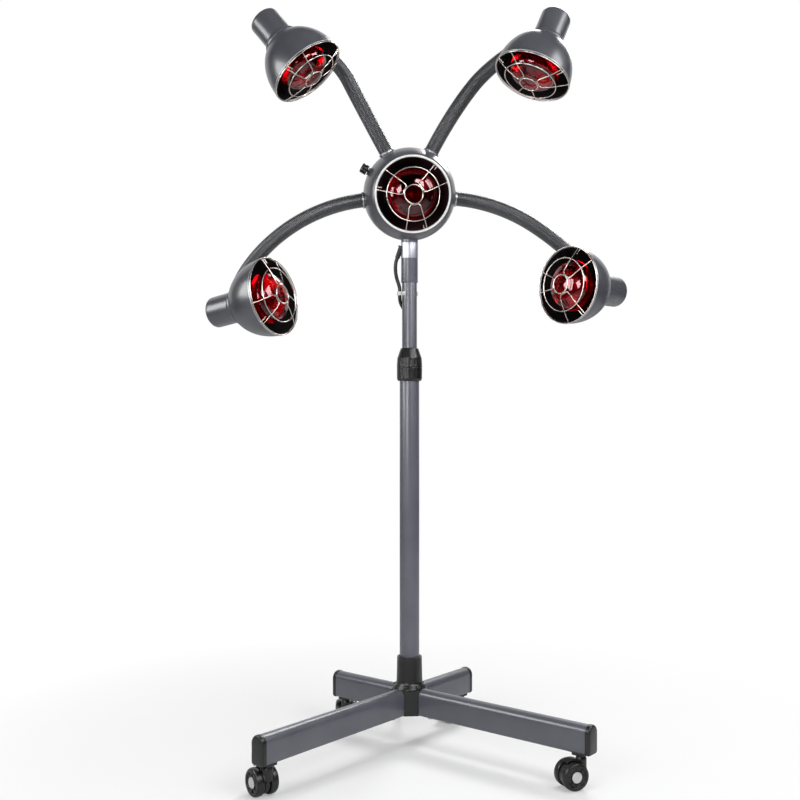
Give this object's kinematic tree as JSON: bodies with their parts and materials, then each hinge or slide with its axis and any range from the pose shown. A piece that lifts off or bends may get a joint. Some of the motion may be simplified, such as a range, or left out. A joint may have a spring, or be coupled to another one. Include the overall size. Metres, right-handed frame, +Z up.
{
  "type": "salon infrared heat lamp",
  "caption": "Floor-standing infrared lamp: a round middle housing and bell shades on bendable goosenecks, on a telescopic column with a cross base on castors.",
  "frame": {"origin": "on the column's axis, at the level of the floor that the castors stand on", "axes": "+Z up along the column, -Y towards the front, where the middle housing faces, +X to the viewer's right"},
  "size_m": [0.8078, 0.6558, 1.4082],
  "materials": {
    "grey_enamel": "semi-gloss enamel",
    "tube_enamel": "satin enamel",
    "black_plastic": "moulded, satin",
    "gloss_black": "moulded, glossy",
    "white_plastic": "moulded, natural white",
    "hose_metal": "dark grey coated, ribbed",
    "guard_wire": "plated, slightly dull",
    "shade_inside": "black enamel with a pale rim",
    "ruby_glass": "ruby stained, smooth",
    "porcelain": "glazed",
    "zinc_steel": "zinc plated",
    "cord_sheath": "matt sheath",
    "castor_plastic": "moulded, satin"
  },
  "bodies": {
    "root": {"base_hub": "black_plastic", "hub_bolts": "zinc_steel", "front_legs": "tube_enamel", "rear_legs": "tube_enamel", "leg_end_caps": "black_plastic", "lower_tube": "tube_enamel", "collar_body": "black_plastic", "collet": "white_plastic", "cord_run": "cord_sheath", "cord_coil": "cord_sheath", "mains_plug": "black_plastic"},
    "collar": {"collar_nut": "black_plastic"},
    "mast": {"upper_tube": "tube_enamel", "guide_bush": "white_plastic", "cord_clip": "white_plastic"},
    "head": {"neck_sleeve": "tube_enamel", "head_housing": "grey_enamel", "centre_shade": "shade_inside", "centre_guard": "guard_wire", "centre_bulb": "ruby_glass", "centre_lampholder": "porcelain", "arm_sockets": "zinc_steel", "switch_body": "black_plastic", "terminal_block": "white_plastic", "head_screws": "zinc_steel", "cord_gland": "cord_sheath", "cord_upper": "cord_sheath"},
    "knob": {"switch_knob": "gloss_black"},
    "castor_fl": {"castor_fl_hood": "castor_plastic"},
    "wheels_fl": {"castor_fl_wheels": "castor_plastic"},
    "castor_fr": {"castor_fr_hood": "castor_plastic"},
    "wheels_fr": {"castor_fr_wheels": "castor_plastic"},
    "castor_rl": {"castor_rl_hood": "castor_plastic"},
    "wheels_rl": {"castor_rl_wheels": "castor_plastic"},
    "castor_rr": {"castor_rr_hood": "castor_plastic"},
    "wheels_rr": {"castor_rr_wheels": "castor_plastic"},
    "arm_ul": {"gooseneck_inner_ul": "hose_metal"},
    "forearm_ul": {"gooseneck_outer_ul": "hose_metal"},
    "lamp_ul": {"shade_ul": "grey_enamel", "socket_cup_ul": "grey_enamel", "bulb_ul": "ruby_glass", "guard_ul": "guard_wire"},
    "arm_ur": {"gooseneck_inner_ur": "hose_metal"},
    "forearm_ur": {"gooseneck_outer_ur": "hose_metal"},
    "lamp_ur": {"shade_ur": "grey_enamel", "socket_cup_ur": "grey_enamel", "bulb_ur": "ruby_glass", "guard_ur": "guard_wire"},
    "arm_ll": {"gooseneck_inner_ll": "hose_metal"},
    "forearm_ll": {"gooseneck_outer_ll": "hose_metal"},
    "lamp_ll": {"shade_ll": "grey_enamel", "socket_cup_ll": "grey_enamel", "bulb_ll": "ruby_glass", "guard_ll": "guard_wire"},
    "arm_lr": {"gooseneck_inner_lr": "hose_metal"},
    "forearm_lr": {"gooseneck_outer_lr": "hose_metal"},
    "lamp_lr": {"shade_lr": "grey_enamel", "socket_cup_lr": "grey_enamel", "bulb_lr": "ruby_glass", "guard_lr": "guard_wire"}
  },
  "joints": [
    {"name": "mast_slide", "type": "slide", "parent": "root", "child": "mast", "axis": [0, 0, 1], "range_m": [0, 0.45]},
    {"name": "collar_twist", "type": "hinge", "parent": "root", "child": "collar", "pos_m": [0, 0, 0.7274], "axis": [0, 0, 1], "range_deg": [0, 100]},
    {"name": "head_swivel", "type": "hinge", "parent": "mast", "child": "head", "pos_m": [0, 0, 0.8914], "axis": [0, 0, 1], "range_deg": [-170, 170]},
    {"name": "knob_turn", "type": "hinge", "parent": "head", "child": "knob", "pos_m": [-0.07858, -0.00726, 1.10355], "axis": [-0.8829, -0.0815, 0.4623], "range_deg": [0, 270]},
    {"name": "gooseneck_ul_root", "type": "hinge", "parent": "head", "child": "arm_ul", "pos_m": [-0.0461, -0.00796, 1.14208], "axis": [0, -0.9848, -0.1736], "range_deg": [-20, 20]},
    {"name": "gooseneck_ul_middle", "type": "hinge", "parent": "arm_ul", "child": "forearm_ul", "pos_m": [-0.11799, 0.01732, 1.28537], "axis": [0.5415, -0.6251, 0.5622], "range_deg": [-20, 20]},
    {"name": "gooseneck_ul_tip", "type": "hinge", "parent": "forearm_ul", "child": "lamp_ul", "pos_m": [-0.23448, -0.01883, 1.35737], "axis": [0.5112, -0.6124, 0.603], "range_deg": [-20, 20]},
    {"name": "gooseneck_ur_root", "type": "hinge", "parent": "head", "child": "arm_ur", "pos_m": [0.04186, -0.00836, 1.14434], "axis": [0, -0.9848, -0.1736], "range_deg": [-20, 20]},
    {"name": "gooseneck_ur_middle", "type": "hinge", "parent": "arm_ur", "child": "forearm_ur", "pos_m": [0.12812, 0.01107, 1.28096], "axis": [0.6358, 0.3655, -0.6798], "range_deg": [-20, 20]},
    {"name": "gooseneck_ur_tip", "type": "hinge", "parent": "forearm_ur", "child": "lamp_ur", "pos_m": [0.24176, -0.04071, 1.3594], "axis": [0.7736, 0.4447, -0.4513], "range_deg": [-20, 20]},
    {"name": "gooseneck_ll_root", "type": "hinge", "parent": "head", "child": "arm_ll", "pos_m": [-0.0913, 0.00814, 1.0508], "axis": [0, -0.9848, -0.1736], "range_deg": [-20, 20]},
    {"name": "gooseneck_ll_middle", "type": "hinge", "parent": "arm_ll", "child": "forearm_ll", "pos_m": [-0.24212, 0.01898, 0.98928], "axis": [-0.5104, -0.6395, 0.575], "range_deg": [-20, 20]},
    {"name": "gooseneck_ll_tip", "type": "hinge", "parent": "forearm_ll", "child": "lamp_ll", "pos_m": [-0.33222, -0.02118, 0.86464], "axis": [-0.5533, -0.6107, 0.5664], "range_deg": [-20, 20]},
    {"name": "gooseneck_lr_root", "type": "hinge", "parent": "head", "child": "arm_lr", "pos_m": [0.09198, 0.00703, 1.05711], "axis": [0, -0.9848, -0.1736], "range_deg": [-20, 20]},
    {"name": "gooseneck_lr_middle", "type": "hinge", "parent": "arm_lr", "child": "forearm_lr", "pos_m": [0.24789, 0.01752, 1.00909], "axis": [0.4794, -0.5308, 0.6988], "range_deg": [-20, 20]},
    {"name": "gooseneck_lr_tip", "type": "hinge", "parent": "forearm_lr", "child": "lamp_lr", "pos_m": [0.35665, -0.02608, 0.90136], "axis": [-0.4081, 0.5807, -0.7044], "range_deg": [-20, 20]},
    {"name": "castor_fl_swivel", "type": "hinge", "parent": "root", "child": "castor_fl", "pos_m": [-0.26729, -0.26729, 0.056], "axis": [0, 0, 1], "continuous": true},
    {"name": "castor_fl_roll", "type": "hinge", "parent": "castor_fl", "child": "wheels_fl", "pos_m": [-0.27679, -0.25083, 0.0245], "axis": [-0.866, -0.5, 0], "continuous": true},
    {"name": "castor_fr_swivel", "type": "hinge", "parent": "root", "child": "castor_fr", "pos_m": [0.26729, -0.26729, 0.056], "axis": [0, 0, 1], "continuous": true},
    {"name": "castor_fr_roll", "type": "hinge", "parent": "castor_fr", "child": "wheels_fr", "pos_m": [0.24893, -0.2722, 0.0245], "axis": [0.2588, -0.9659, 0], "continuous": true},
    {"name": "castor_rl_swivel", "type": "hinge", "parent": "root", "child": "castor_rl", "pos_m": [-0.11773, 0.11773, 0.056], "axis": [0, 0, 1], "continuous": true},
    {"name": "castor_rl_roll", "type": "hinge", "parent": "castor_rl", "child": "wheels_rl", "pos_m": [-0.11575, 0.13663, 0.0245], "axis": [-0.9945, 0.1045, 0], "continuous": true},
    {"name": "castor_rr_swivel", "type": "hinge", "parent": "root", "child": "castor_rr", "pos_m": [0.11773, 0.11773, 0.056], "axis": [0, 0, 1], "continuous": true},
    {"name": "castor_rr_roll", "type": "hinge", "parent": "castor_rr", "child": "wheels_rr", "pos_m": [0.10128, 0.12723, 0.0245], "axis": [-0.5, -0.866, 0], "continuous": true}
  ]
}
